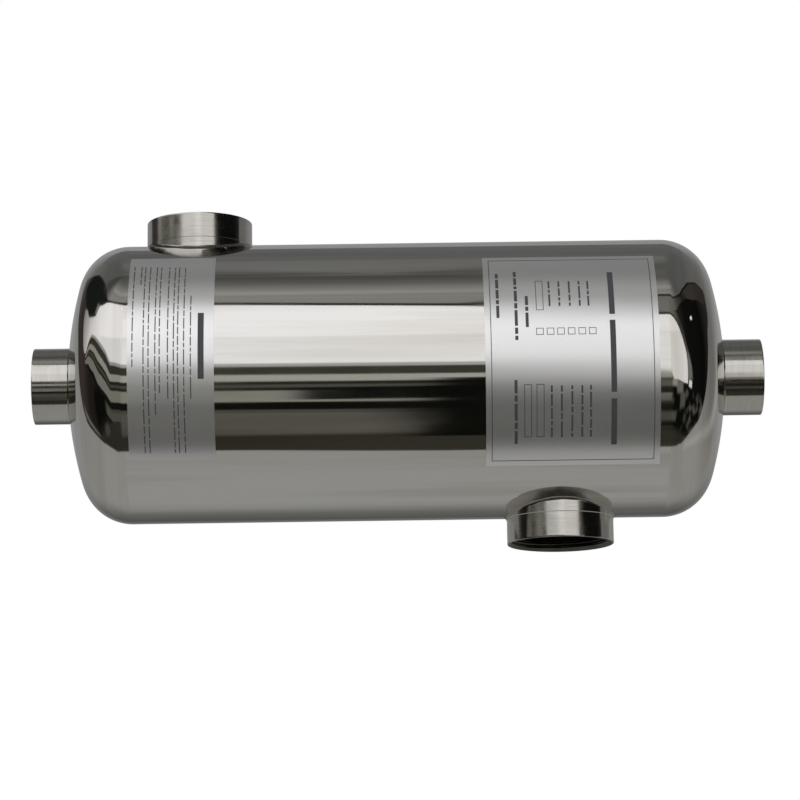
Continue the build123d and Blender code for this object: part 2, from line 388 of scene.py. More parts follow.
    # sill and frame lines below the window, drawn together towards the left
    overFoot = degreesOver(values["windowFoot"])
    overTop = degreesOver(values["windowTop"])
    scale = heightOf(values["stripeScale"], 0.0, 2.0)
    outside = addNode(tree, "ShaderNodeMath", {"operation": "DIVIDE", 0: overFoot, 1: scale}).outputs[0]
    outside = addNode(tree, "ShaderNodeMath", {"operation": "MULTIPLY", 0: outside, 1: -1.0}).outputs[0]
    soft = values["stripeSoft"]
    stops = [(values["stripes"][0][0], tone(values["stripes"][0][1]))]
    for (_, before), (start, after) in zip(values["stripes"], values["stripes"][1:]):
        stops += [(start - soft, tone(before)), (start + soft, tone(after))]
    stripes = stopsAlong(outside, 0.0, 80.0, stops)  # 80 is well past the last stripe
    dimmed = values["frameShade"]
    dimmedMask = between(azimuth, farBelow, dimmed["right"], 6.0, dimmed["strength"])
    stripes = painted(stripes, dimmed["tone"], dimmedMask)
    sill = values["sill"]
    near = between(outside, 0.0, sill["depth"])
    picture = painted(picture, stripes, between(azimuth, sill["left"], sill["right"], 1.5, near))
    deeper = between(outside, sill["depth"] - 1.0, sill["deepest"], 1.0)
    picture = painted(picture, stripes, between(azimuth, sill["deepLeft"], sill["right"], 8.0, deeper))
    for place in values["flags"]:
        if place.get("overSill"):
            picture = painted(picture, values["flagTone"], card(place))
    for place, code in values["patches"]:
        picture = painted(picture, code, card(place))

    # the window itself and the grey reveal at its right
    reveal = tonesRound(values["reveal"])
    overReveal = degreesOver(values["revealEdge"])
    besides = between(overReveal, farBelow, 0.0, 3.0, beyond(elevation, values["revealFoot"], 3.0))
    besides = beyond(overTop, 0.0, 1.0, besides)
    picture = painted(picture, reveal, alongEdge(values["revealEdge"], 1.5, besides))
    rail = values["frameTop"]
    railMask = between(overTop, 0.0, rail["height"], 1.0)
    railMask = between(azimuth, rail["left"], rail["right"], 3.0, railMask)
    picture = painted(picture, rail["tone"], railMask)
    pane = tonesRound(values["window"])
    lowTones = tonesRound(values["windowLow"])
    part = values["lowPane"]
    lower = between(elevation, farBelow, part["below"], 2.0)
    pane = painted(pane, lowTones, between(azimuth, part["left"], part["right"], part["soft"], lower))
    opening = between(overTop, farBelow, 0.0, 0.8, beyond(overFoot, 0.0, 0.8))
    picture = painted(picture, pane, alongEdge(values["windowTop"], 0.8, opening))

    lit = addNode(tree, "ShaderNodeBackground", {0: picture, "Strength": 1 / tint[1]})
    white = addNode(tree, "ShaderNodeBackground", {0: (1, 1, 1, 1), "Strength": 1.0})
    seen = addNode(tree, "ShaderNodeLightPath").outputs["Is Camera Ray"]
    shown = addNode(tree, "ShaderNodeMixShader", {0: seen, 1: lit.outputs[0], 2: white.outputs[0]})
    addNode(tree, "ShaderNodeOutputWorld", {0: shown.outputs[0]})


makeRoom(room)
print("room painted")

# Lamp: a soft disk at the front left, its size and place in metres. The steel doesn't
# mirror it.
lampValues = {
    "size": 1.6,
    "power": 22.0,
    "place": (-0.7, -1.6, 1.7),
}


def hangLamp(values):
    data = bpy.data.lights.new("soft_lamp", "AREA")
    data.shape = "DISK"
    data.size = values["size"]
    data.energy = values["power"]
    lamp = bpy.data.objects.new("soft_lamp", data)
    lamp.location = shellCentre + Vector(values["place"])
    lamp.rotation_euler = (shellCentre - lamp.location).to_track_quat("-Z", "Y").to_euler()
    lamp.visible_glossy = False
    scene.collection.objects.link(lamp)


hangLamp(lampValues)

# Floor: far below, because the camera looks up at the object and sees no ground
floorValues = {"below": 620.0, "halfWidth": 30000.0, "colour": "#f4f4f3"}


def layFloor(values):
    half = values["halfWidth"] * mm
    height = shellCentre.z - values["below"] * mm
    mesh = bpy.data.meshes.new("floor")
    corners = [(-half, -half, height), (half, -half, height), (half, half, height), (-half, half, height)]
    mesh.from_pydata(corners, [], [(0, 1, 2, 3)])
    floor = bpy.data.objects.new("floor", mesh)
    scene.collection.objects.link(floor)
    # pale matt board: nothing to see but the object's soft shadow
    material, tree, shader = newMaterial("painted_board_matt")
    shader.inputs["Base Color"].default_value = linearColour(values["colour"])
    shader.inputs["Roughness"].default_value = 0.9
    shader.inputs["Specular IOR Level"].default_value = 0.1
    mesh.materials.append(material)
    floor.visible_glossy = False


layFloor(floorValues)
print("floor laid")


def objectPlace(tree):
    return addNode(tree, "ShaderNodeTexCoord").outputs["Object"]


def brushedAlong(tree, place):
    # stretched along the shell, as the polishing belt ran
    return addNode(tree, "ShaderNodeMapping", {0: place, "Scale": (0.04, 1.0, 1.0)}).outputs[0]


def brushedAround(tree, place):
    # the same at every angle round the shell's axis, as a spinning head takes its polish
    beside = {0: place, "Location": (0.0, 0.0, -shellCentre.z), "Scale": (0.0, 1.0, 1.0)}
    offAxis = addNode(tree, "ShaderNodeMapping", beside).outputs[0]
    radius = addNode(tree, "ShaderNodeVectorMath", {"operation": "LENGTH", 0: offAxis}).outputs["Value"]
    along = addNode(tree, "ShaderNodeSeparateXYZ", {0: place}).outputs["X"]
    slowly = addNode(tree, "ShaderNodeMapping", {0: offAxis, "Scale": (0.0, 0.03, 0.03)}).outputs[0]
    rings = addNode(tree, "ShaderNodeCombineXYZ", {"X": along, "Y": radius}).outputs[0]
    return addNode(tree, "ShaderNodeVectorMath", {"operation": "ADD", 0: rings, 1: slowly}).outputs[0]


# Stainless steel 304, ground and then mirror polished: it shows the room sharply, with a
# slow wave from the rolled sheet, fine belt marks and faint smears where it was wiped
polishedSteel = {
    "colour": "#cfcecb",
    "smearColour": "#bfbcb6",
    "smearWidth": 9.0,
    "roughness": 0.045,
    "wipeRoughness": 0.05,
    "wipeWidth": 22.0,
    "waveLength": 38.0,
    "streakPitch": 1.6,
    "streakHeight": 0.00025,
}


def makePolishedSteel(name, values, waveHeight, brushed):
    material, tree, shader = newMaterial(name)
    place = objectPlace(tree)
    along = addNode(tree, "ShaderNodeMapping", {0: place, "Scale": (0.35, 1.0, 1.0)}).outputs[0]
    waveScale = 1 / (values["waveLength"] * mm)
    wave = addNode(tree, "ShaderNodeTexNoise", {"Vector": along, "Scale": waveScale, "Detail": 0.0})
    slow = addNode(tree, "ShaderNodeBump", {"Height": wave.outputs["Fac"], "Distance": waveHeight * mm})
    marks = brushed(tree, place)
    streakScale = 1 / (values["streakPitch"] * mm)
    streak = addNode(tree, "ShaderNodeTexNoise", {"Vector": marks, "Scale": streakScale, "Detail": 2.0})
    fine = {"Height": streak.outputs["Fac"], "Normal": slow.outputs[0]}
    fine = addNode(tree, "ShaderNodeBump", {**fine, "Distance": values["streakHeight"] * mm})
    wipeScale = 1 / (values["wipeWidth"] * mm)
    wiped = addNode(tree, "ShaderNodeTexNoise", {"Vector": along, "Scale": wipeScale, "Detail": 4.0})
    dull = values["roughness"] + values["wipeRoughness"]
    rough = {0: wiped.outputs["Fac"], 1: 0.45, 2: 0.75, 3: values["roughness"], 4: dull}
    rough = addNode(tree, "ShaderNodeMapRange", rough)
    smearScale = 1 / (values["smearWidth"] * mm)
    smear = addNode(tree, "ShaderNodeTexNoise", {"Vector": marks, "Scale": smearScale, "Detail": 5.0})
    share = addNode(tree, "ShaderNodeMapRange", {0: smear.outputs["Fac"], 1: 0.42, 2: 0.68})
    colours = {6: linearColour(values["colour"]), 7: linearColour(values["smearColour"])}
    tint = addNode(tree, "ShaderNodeMix", {"data_type": "RGBA", 0: share.outputs[0], **colours})
    tree.links.new(tint.outputs[2], shader.inputs["Base Color"])
    shader.inputs["Metallic"].default_value = 1.0
    tree.links.new(rough.outputs[0], shader.inputs["Roughness"])
    tree.links.new(fine.outputs[0], shader.inputs["Normal"])
    return material


# the rolled tube is flatter than the pressed heads
shellSteel = makePolishedSteel("stainless_304_rolled_and_polished", polishedSteel, 0.012, brushedAlong)
headSteel = makePolishedSteel("stainless_304_pressed_and_polished", polishedSteel, 0.02, brushedAround)

# Stainless steel, turned on the lathe and buffed: fine rings round it that smear the
# reflections along its axis. The rings are drawn coarser than a lathe's feed, to show.
turnedSteel = {
    "colour": "#cbc9c4",
    "scratchColour": "#b4b2ac",
    "roughness": 0.14,
    "anisotropy": 0.85,
    "stainWidth": 9.0,
    "ringPitch": 0.55,
    "ringHeight": 0.001,
}


def makeTurnedSteel(name, values, axis):
    material, tree, shader = newMaterial(name)
    place = objectPlace(tree)
    along = addNode(tree, "ShaderNodeSeparateXYZ", {0: place}).outputs[axis]
    perMetre = 2 * math.pi / (values["ringPitch"] * mm)
    turns = addNode(tree, "ShaderNodeMath", {"operation": "MULTIPLY", 0: along, 1: perMetre}).outputs[0]
    ring = addNode(tree, "ShaderNodeMath", {"operation": "SINE", 0: turns}).outputs[0]
    scale = [0.05, 0.05, 0.05]
    scale["XYZ".index(axis)] = 1.0
    around = addNode(tree, "ShaderNodeMapping", {0: place, "Scale": scale}).outputs[0]
    scratchScale = 1 / (values["ringPitch"] * mm)
    scratch = {"Vector": around, "Scale": scratchScale, "Detail": 1.0}
    scratch = addNode(tree, "ShaderNodeTexNoise", scratch).outputs["Fac"]
    height = addNode(tree, "ShaderNodeMath", {"operation": "MULTIPLY_ADD", 0: ring, 1: 0.35, 2: scratch})
    rings = {"Height": height.outputs[0], "Distance": values["ringHeight"] * mm}
    bump = addNode(tree, "ShaderNodeBump", rings)
    stainScale = 1 / (values["stainWidth"] * mm)
    stain = addNode(tree, "ShaderNodeTexNoise", {"Vector": place, "Scale": stainScale, "Detail": 4.0})
    buffed = values["roughness"] - 0.03
    stained = values["roughness"] + 0.06
    rough = {0: stain.outputs["Fac"], 1: 0.35, 2: 0.7, 3: buffed, 4: stained}
    rough = addNode(tree, "ShaderNodeMapRange", rough)
    colours = {6: linearColour(values["colour"]), 7: linearColour(values["scratchColour"])}
    tint = addNode(tree, "ShaderNodeMix", {"data_type": "RGBA", 0: scratch, **colours})
    tree.links.new(tint.outputs[2], shader.inputs["Base Color"])
    shader.inputs["Metallic"].default_value = 1.0
    shader.inputs["Anisotropic"].default_value = values["anisotropy"]
    shader.inputs["Anisotropic Rotation"].default_value = 0.25
    tangent = addNode(tree, "ShaderNodeTangent", {"direction_type": "RADIAL", "axis": axis})
    tree.links.new(tangent.outputs[0], shader.inputs["Tangent"])
    tree.links.new(rough.outputs[0], shader.inputs["Roughness"])
    tree.links.new(bump.outputs[0], shader.inputs["Normal"])
    return material


uprightSocketSteel = makeTurnedSteel("stainless_304_turned_upright", turnedSteel, "Z")
levelSocketSteel = makeTurnedSteel("stainless_304_turned_level", turnedSteel, "X")

# Thread as cut, never buffed: its dark colour is painted shade inside the bore, with random darker patches,
# and only a dull glint on its crests
cutThread = {"colour": "#6b6965", "shadedPatchColour": "#3f3d39", "roughness": 0.3, "stainWidth": 5.0}


def makeCutThread(values):
    material, tree, shader = newMaterial("stainless_304_cut_thread_painted_shade")
    stainScale = 1 / (values["stainWidth"] * mm)
    stain = {"Vector": objectPlace(tree), "Scale": stainScale, "Detail": 3.0}
    stain = addNode(tree, "ShaderNodeTexNoise", stain)
    # the dark colour and the darker patches are painted shade inside the socket's bore
    colours = {6: linearColour(values["colour"]), 7: linearColour(values["shadedPatchColour"])}
    tint = addNode(tree, "ShaderNodeMix", {"data_type": "RGBA", 0: stain.outputs["Fac"], **colours})
    tree.links.new(tint.outputs[2], shader.inputs["Base Color"])
    shader.inputs["Metallic"].default_value = 1.0
    shader.inputs["Roughness"].default_value = values["roughness"]
    return material


threadSteel = makeCutThread(cutThread)

# Weld metal, brushed clean after welding: a darker, duller grey than the sheet, with random darker patches
# and small ripples
weldMetal = {
    "colour": "#b3b1ac",
    "darkPatchColour": "#86817a",
    "roughness": 0.24,
    "grain": 0.8,
    "grainHeight": 0.02,
}


def makeWeldMetal(values):
    material, tree, shader = newMaterial("stainless_weld_metal_brushed")
    place = objectPlace(tree)
    grainScale = 1 / (values["grain"] * mm)
    grain = {"Vector": place, "Scale": grainScale, "Detail": 3.0}
    grain = addNode(tree, "ShaderNodeTexNoise", grain).outputs["Fac"]
    bump = addNode(tree, "ShaderNodeBump", {"Height": grain, "Distance": values["grainHeight"] * mm})
    colours = {6: linearColour(values["colour"]), 7: linearColour(values["darkPatchColour"])}
    tint = addNode(tree, "ShaderNodeMix", {"data_type": "RGBA", 0: grain, **colours})
    tree.links.new(tint.outputs[2], shader.inputs["Base Color"])
    tree.links.new(bump.outputs[0], shader.inputs["Normal"])
    shader.inputs["Metallic"].default_value = 1.0
    shader.inputs["Roughness"].default_value = values["roughness"]
    return material


weldSteel = makeWeldMetal(weldMetal)

# Drawn tube and cold-rolled sheet inside: satin mill finish that only hints at the room
millFinish = {"colour": "#b9b8b4", "roughness": 0.32, "grain": 0.4, "grainHeight": 0.003}


def makeMillFinish(name, values, stretch):
    material, tree, shader = newMaterial(name)
    stretched = addNode(tree, "ShaderNodeMapping", {0: objectPlace(tree), "Scale": stretch}).outputs[0]
    grainScale = 1 / (values["grain"] * mm)
    grain = {"Vector": stretched, "Scale": grainScale, "Detail": 2.0}
    grain = addNode(tree, "ShaderNodeTexNoise", grain).outputs["Fac"]
    bump = addNode(tree, "ShaderNodeBump", {"Height": grain, "Distance": values["grainHeight"] * mm})
    rough = {0: grain, 1: 0.3, 2: 0.7, 3: values["roughness"] - 0.06, 4: values["roughness"] + 0.08}
    rough = addNode(tree, "ShaderNodeMapRange", rough)
    shader.inputs["Base Color"].default_value = linearColour(values["colour"])
    shader.inputs["Metallic"].default_value = 1.0
    tree.links.new(rough.outputs[0], shader.inputs["Roughness"])
    tree.links.new(bump.outputs[0], shader.inputs["Normal"])
    return material


tubeSteel = makeMillFinish("stainless_316_drawn_tube", millFinish, (0.05, 1.0, 1.0))
sheetSteel = makeMillFinish("stainless_304_cold_rolled_sheet", millFinish, (1.0, 1.0, 0.1))

# Metallised polyester foil with a matt overprint varnish: silver, with a soft broad sheen
printedFoil = {
    "colour": "#e9eaea",
    "grainColour": "#dcdddf",
    "metallic": 0.86,
    "roughness": 0.275,
    "grain": 0.35,
    "grainHeight": 0.0012,
    "rippleLength": 30.0,
    "rippleHeight": 0.03,
}


def makeFoil(values):
    material, tree, shader = newMaterial("silver_polyester_foil_varnished")
    place = objectPlace(tree)
    rippleScale = 1 / (values["rippleLength"] * mm)
    ripple = addNode(tree, "ShaderNodeTexNoise", {"Vector": place, "Scale": rippleScale, "Detail": 1.0})
    slow = {"Height": ripple.outputs["Fac"], "Distance": values["rippleHeight"] * mm}
    slow = addNode(tree, "ShaderNodeBump", slow).outputs[0]
    grainScale = 1 / (values["grain"] * mm)
    grain = {"Vector": place, "Scale": grainScale, "Detail": 2.0}
    grain = addNode(tree, "ShaderNodeTexNoise", grain).outputs["Fac"]
    fine = {"Height": grain, "Normal": slow, "Distance": values["grainHeight"] * mm}
    bump = addNode(tree, "ShaderNodeBump", fine)
    colours = {6: linearColour(values["colour"]), 7: linearColour(values["grainColour"])}
    tint = addNode(tree, "ShaderNodeMix", {"data_type": "RGBA", 0: grain, **colours})
    tree.links.new(tint.outputs[2], shader.inputs["Base Color"])
    tree.links.new(bump.outputs[0], shader.inputs["Normal"])
    shader.inputs["Metallic"].default_value = values["metallic"]
    shader.inputs["Roughness"].default_value = values["roughness"]
    return material


foil = makeFoil(printedFoil)

# Screen ink, dark grey and dead flat on the foil
screenInk = {"colour": "#3d3e41", "grainColour": "#4a4b4e", "grain": 0.4, "roughness": 0.6}


def makeInk(values):
    material, tree, shader = newMaterial("screen_ink_dark_grey")
    grainScale = 1 / (values["grain"] * mm)
    grain = {"Vector": objectPlace(tree), "Scale": grainScale, "Detail": 2.0}
    grain = addNode(tree, "ShaderNodeTexNoise", grain)
    colours = {6: linearColour(values["colour"]), 7: linearColour(values["grainColour"])}
    tint = addNode(tree, "ShaderNodeMix", {"data_type": "RGBA", 0: grain.outputs["Fac"], **colours})
    tree.links.new(tint.outputs[2], shader.inputs["Base Color"])
    shader.inputs["Roughness"].default_value = values["roughness"]
    return material


ink = makeInk(screenInk)


def finishNode(name, material):
    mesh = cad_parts[name].data
    mesh.materials.clear()
    mesh.materials.append(material)


finishNode("shell_tube", shellSteel)
for side in ("left", "right"):
    finishNode(f"{side}_girth_weld", shellSteel)
    finishNode(f"{side}_tube_sheet", sheetSteel)
    finishNode(f"{side}_baffle", sheetSteel)
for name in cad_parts:
    if name.startswith("heating_tube"):
        finishNode(name, tubeSteel)
finishNode("data_plate", foil)
finishNode("notice_plate", foil)
print("finishes on the carried-over pieces")


def newPiece(name, mesh, material, replaced=()):
    mesh.materials.append(material)
    piece = bpy.data.objects.new(name, mesh)
    scene.collection.objects.link(piece)
    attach(piece, "root")
    for node in replaced:
        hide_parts(node)


def joinRings(bm, rings, closed=True):
    # quads between neighbouring rings of vertices, the last ring meeting the first if closed
    pairs = zip(rings, rings[1:] + rings[:1]) if closed else zip(rings, rings[1:])
    for first, second in pairs:
        for point in range(len(first)):
            after = (point + 1) % len(first)
            bm.faces.new((first[point], first[after], second[after], second[point]))


def finishMesh(bm, name, sharpAngle=None, smooth=True):
    bmesh.ops.recalc_face_normals(bm, faces=bm.faces)
    for face in bm.faces:
        face.smooth = smooth
    mesh = bpy.data.meshes.new(name)
    bm.to_mesh(mesh)
    bm.free()
    if sharpAngle:
        mesh.set_sharp_from_angle(angle=math.radians(sharpAngle))
    return mesh


# Heads: the same skirt, knuckle and crown as the solid ones, in steps so fine that the
# mirrored room runs over them without a kink
headForm = {
    "knuckle": 24.0,
    "crown": 175.0,
    "skirt": 1.5,
    "wall": 1.5,
    "weldBevel": 0.8,
    "hole": 18.2,
    "around": 256,
    "knuckleSteps": 60,
    "crownSteps": 30,
}


def headOutline(form, start, radius, depth):
    # half section from the end of the skirt to the socket's hole, set in by depth
    knuckle = form["knuckle"] - depth
    crown = form["crown"] - depth
    tangent = start + form["skirt"]
    spread = math.asin((radius - form["knuckle"]) / (form["crown"] - form["knuckle"]))
    crownCentre = tangent - (form["crown"] - form["knuckle"]) * math.cos(spread)
    points = []
    for step in range(form["knuckleSteps"] + 1):
        angle = math.pi / 2 + (spread - math.pi / 2) * step / form["knuckleSteps"]
        offAxis = radius - form["knuckle"] + knuckle * math.sin(angle)
        points.append((tangent + knuckle * math.cos(angle), offAxis))
    edge = math.asin(form["hole"] / crown)
    for step in range(1, form["crownSteps"] + 1):
        angle = spread + (edge - spread) * step / form["crownSteps"]
        points.append((crownCentre + crown * math.cos(angle), crown * math.sin(angle)))
    return points


def makeHead(name, node, outward, form):
    low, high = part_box(node)
    start = ((low.x if outward > 0 else high.x) - shellCentre.x) * outward / mm
    radius = shellRadius / mm
    profile = [(start, radius - form["wall"]), (start + form["weldBevel"], radius)]
    profile += headOutline(form, start, radius, 0.0)
    profile += reversed(headOutline(form, start, radius, form["wall"]))
    bm = bmesh.new()
    columns = []
    for column in range(form["around"]):
        angle = 2 * math.pi * column / form["around"]
        strip = []
        for x, offAxis in profile:
            side = Vector((outward * x, offAxis * math.cos(angle), offAxis * math.sin(angle)))
            strip.append(bm.verts.new(shellCentre + side * mm))
        columns.append(strip)
    joinRings(bm, columns)
    newPiece(name, finishMesh(bm, name, 20), headSteel, [node])


makeHead("left_head_polished", "left_head", -1, headForm)
makeHead("right_head_polished", "right_head", 1, headForm)
print("heads made")

# Sockets: turned rings with a helical pipe thread cut inside. Every one is built upright,
# its mouth at height 0, and then set on its own axis.
socketForm = {
    "around": 160,
    "stepsPerThread": 10,
    "threadPitch": 2.309,
    "threadDepth": 1.479,
    "mouthChamfer": 0.6,
    "length": 20.0,
    "edgeBreak": 0.3,
    "mouthRow": 0.4,  # rows of points just past the edges keep the flats flat in the light
    "footRow": 0.3,
}
poolSocket = {"root": 23.9, "outside": 25.3, "turnedLength": 11.8, "turnedDepth": 0.3}
boilerSocket = {"root": 16.6, "outside": 18.2, "turnedLength": 11.8, "turnedDepth": 0.0}


def threadHeight(phase):
    # rounded V of a pipe thread: 0 at the root, 1 at the crest
    flank = 1 - abs(2 * (phase % 1.0) - 1)
    return min(1.0, max(0.0, 1.12 * flank - 0.06))


def socketMesh(name, size, form):
    around = form["around"]
    pitch = form["threadPitch"]
    steps = form["stepsPerThread"]
    rows = int(form["length"] / pitch * steps) + 2 * steps
    bm = bmesh.new()
    outside = size["outside"]
    foot = outside + size["turnedDepth"]
    edge = form["edgeBreak"]
    arc = edge * 0.3  # the middle of the rounded edge
    past = form["footRow"]
    outline = [(outside - edge, 0.0), (outside - arc, -arc), (outside, -edge)]
    outline.append((outside, -edge - form["mouthRow"]))
    if size["turnedDepth"]:
        shoulder = -size["turnedLength"]
        step = shoulder - size["turnedDepth"]
        outline += [(outside, shoulder + past), (outside, shoulder), (foot, step), (foot, step - past)]
    outline += [(foot, -form["length"] + past), (foot, -form["length"])]

    def boreRadius(height, angle):
        phase = (height / pitch) + angle / (2 * math.pi)
        depth = form["threadDepth"] * threadHeight(phase)
        fade = min(1.0, (height + form["length"]) / pitch)
        return max(size["root"] - depth * fade, size["root"] + form["mouthChamfer"] + height)

    def ringVertex(radius, height, angle):
        return bm.verts.new((radius * math.cos(angle) * mm, radius * math.sin(angle) * mm, height * mm))

    columns = []
    for column in range(around + 1):
        angle = 2 * math.pi * column / around
        strip = []
        for row in range(rows + 1):
            height = (row / steps - column / around) * pitch - form["length"]
            height = min(0.0, max(-form["length"], height))
            strip.append(ringVertex(boreRadius(height, angle), height, angle))
        for radius, height in outline:
            strip.append(ringVertex(radius, height, angle))
        columns.append(strip)
    for first, second in zip(columns, columns[1:]):
        for row in range(len(first)):
            following = (row + 1) % len(first)
            face = bm.faces.new((first[row], first[following], second[following], second[row]))
            face.material_index = 1 if row < rows - 1 else 0  # the bore is left as cut, in the thread steel painted dark for its shade
    bmesh.ops.remove_doubles(bm, verts=bm.verts, dist=0.002 * mm)
    bmesh.ops.dissolve_degenerate(bm, edges=bm.edges, dist=0.002 * mm)
    return finishMesh(bm, name, 28)


def socketAxes(node):
    # each socket's mouth centre and outward direction, from its CAD box
    low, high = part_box(node)
    middle = (low + high) / 2
    size = high - low
    if size.z < size.x:
        outward = Vector((0, 0, 1 if middle.z > shellCentre.z else -1))
    else:
        outward = Vector((1 if middle.x > shellCentre.x else -1, 0, 0))
    reach = max(abs(outward.dot(high - middle)), abs(outward.dot(low - middle)))
    return middle + outward * reach, outward


def placeSocket(name, node, size, material):
    mesh = socketMesh(name, size, socketForm)
    mouth, outward = socketAxes(node)
    turn = outward.to_track_quat("Z", "X").to_matrix().to_4x4()
    turn.translation = mouth
    mesh.transform(turn)
    newPiece(name, mesh, material, [node])
    mesh.materials.append(threadSteel)


placeSocket("upper_pool_socket_threaded", "upper_pool_socket", poolSocket, uprightSocketSteel)
placeSocket("lower_pool_socket_threaded", "lower_pool_socket", poolSocket, uprightSocketSteel)
placeSocket("left_boiler_socket_threaded", "left_boiler_socket", boilerSocket, levelSocketSteel)
placeSocket("right_boiler_socket_threaded", "right_boiler_socket", boilerSocket, levelSocketSteel)
print("threaded sockets made")

# Weld beads: a fillet swept round each socket's foot, with the small ripples of a
# hand-held torch
beadForm = {
    "steps": 480,
    "leg": 1.05,
    "hollow": 0.22,
    "ripplePitch": 1.3,
    "rippleDepth": 0.08,
    "waver": [(0.05, 7, 0.6), (0.04, 17, 0.0)],  # the hand's own: height, times round, start
    "profilePoints": 7,
    "buried": 0.5,
    "rootShare": 0.8,
}
boilerBeadForm = {**beadForm, "steps": 360, "leg": 0.5, "rippleDepth": 0.04, "footLift": 0.12}


def beadMesh(name, footPoint, length, form):
    # footPoint(angle) gives the corner, the way up the socket and the way along the body
    bm = bmesh.new()
    rings = []
    ripples = round(length / form["ripplePitch"])
    for number in range(form["steps"]):
        angle = 2 * math.pi * number / form["steps"]
        corner, up, along = footPoint(angle)
        swell = form["rippleDepth"] * (abs(math.sin(angle * ripples / 2)) - 0.5)
        for height, times, start in form["waver"]:
            swell += height * math.sin(angle * times + start)
        leg = form["leg"] + swell
        ring = []
        for point in range(form["profilePoints"]):
            share = point / (form["profilePoints"] - 1)
            bulge = math.sin(math.pi * share) * form["hollow"] * leg
            offset = up * (leg * (1 - share)) + along * (leg * share)
            offset -= (up + along).normalized() * (bulge - swell * math.sin(math.pi * share))
            ring.append(bm.verts.new((corner + offset) * mm))
        under = corner - (up + along).normalized() * form["buried"]
        root = leg * form["rootShare"]
        ring.append(bm.verts.new((under + along * root) * mm))
        ring.append(bm.verts.new((under + up * root) * mm))
        rings.append(ring)
    joinRings(bm, rings)
    return finishMesh(bm, name, 50)


def poolBead(name, node, socketNode):
    mouth, outward = socketAxes(socketNode)
    radius = poolSocket["outside"] + poolSocket["turnedDepth"]
    shell = shellRadius / mm
    sign = 1 if outward.z > 0 else -1

    def footPoint(angle):
        x = radius * math.cos(angle)
        y = radius * math.sin(angle)
        rise = math.sqrt(shell * shell - y * y)
        corner = Vector((mouth.x / mm + x, mouth.y / mm + y, shellCentre.z / mm + sign * rise))
        wall = Vector((math.cos(angle), math.sin(angle), 0))
        skin = Vector((0, y, sign * rise)).normalized()
        along = (wall - skin * wall.dot(skin)).normalized()
        up = (skin - wall * skin.dot(wall)).normalized()
        return corner, up, along

    mesh = beadMesh(name, footPoint, 2 * math.pi * radius, beadForm)
    newPiece(name, mesh, weldSteel, [node])


def boilerBead(name, node, socketNode):
    mouth, outward = socketAxes(socketNode)
    radius = boilerSocket["outside"]
    low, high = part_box(node)
    face = (low.x if outward.x > 0 else high.x) / mm
    spread = math.asin(radius / headForm["crown"])

    def footPoint(angle):
        corner = Vector((
            face + outward.x * boilerBeadForm["footLift"],
            mouth.y / mm + radius * math.cos(angle),
            mouth.z / mm + radius * math.sin(angle),
        ))
        wall = Vector((0, math.cos(angle), math.sin(angle)))
        skin = Vector((outward.x * math.cos(spread), *(wall * math.sin(spread)).yz))
        along = (wall - skin * wall.dot(skin)).normalized()
        return corner, outward.copy(), along

    mesh = beadMesh(name, footPoint, 2 * math.pi * radius, boilerBeadForm)
    newPiece(name, mesh, weldSteel, [node])


poolBead("upper_pool_socket_bead", "upper_pool_socket_weld", "upper_pool_socket")
poolBead("lower_pool_socket_bead", "lower_pool_socket_weld", "lower_pool_socket")
boilerBead("left_boiler_socket_bead", "left_boiler_socket_weld", "left_boiler_socket")
boilerBead("right_boiler_socket_bead", "right_boiler_socket_weld", "right_boiler_socket")
print("weld beads made")

# Seal welds round the tube ends at both tube sheets, one joined piece for each end
tubeEndForm = {"steps": 40, "leg": 0.8, "lip": 0.15, "buried": 0.2, "ripples": 9, "rippleShare": 0.12}


def tubeEndWelds(name, sheetNode, outward, form):
    lip = form["lip"]
    buried = form["buried"]
    bm = bmesh.new()
    low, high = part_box(sheetNode)
    face = (high.x if outward > 0 else low.x) / mm
    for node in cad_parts:
        if not node.startswith("heating_tube"):
            continue
        tubeLow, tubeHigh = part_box(node)
        centre = (tubeLow + tubeHigh) / 2
        radius = (tubeHigh.z - tubeLow.z) / 2 / mm
        start = centre.y * 900  # so that neighbours differ
        rings = []
        for number in range(form["steps"]):
            angle = 2 * math.pi * number / form["steps"]
            ripple = form["rippleShare"] * math.sin(angle * form["ripples"] + start)
            leg = form["leg"] * (1 + ripple)
            waist = leg * 0.6
            reach = leg * 0.95
            fillet = ((-buried, leg), (lip, reach), (waist, waist), (reach, lip), (leg, -buried))
            ring = []
            for out, rise in fillet:
                ring.append(bm.verts.new((
                    (face + outward * rise) * mm,
                    centre.y + (radius + out) * math.cos(angle) * mm,
                    centre.z + (radius + out) * math.sin(angle) * mm,
                )))
            rings.append(ring)
        joinRings(bm, rings)
    newPiece(name, finishMesh(bm, name), weldSteel)


tubeEndWelds("left_tube_end_welds", "left_tube_sheet", -1, tubeEndForm)
tubeEndWelds("right_tube_end_welds", "right_tube_sheet", 1, tubeEndForm)
print("tube end welds made")

# Print on the plates, all of it generic: plain dashes where words would be and empty
# boxes. Sizes in mm, across from the shell's middle and up round the shell.
dataPrint = {
    "border": (43.3, 118.4, -53.1, 53.1, 0.35),
    "heading": (98.3, 100.9, -44.8, 42.6),
    "columns": [88.9, 84.9, 80.3, 75.5, 70.9],
    "columnWidth": 0.85,
    "upperGroup": (22.2, 36.8),
    "lowerGroup": (-40.7, -16.1),
    "tickBoxes": [64.3, 69.2, 74.0, 78.9, 83.8, 88.6],
    "tickBoxSize": 3.4,
    "tickBoxFoot": 7.6,
    "emptyBoxes": [(64.6, 68.1, 20.1, 37.2), (63.9, 67.5, -40.5, -15.4), (58.3, 61.7, -40.5, -15.4)],
    "lines": [
        (59.6, 61.0, 11.5, 28.0), (54.6, 56.0, 5.2, 43.7),
        (53.8, 55.2, -43.9, -13.4), (46.2, 47.6, 16.3, 42.4),
    ],
    "boxLine": 0.3,
    "headingDashes": [25.0, 34.0, 19.0],
    "headingGap": 3.0,
}
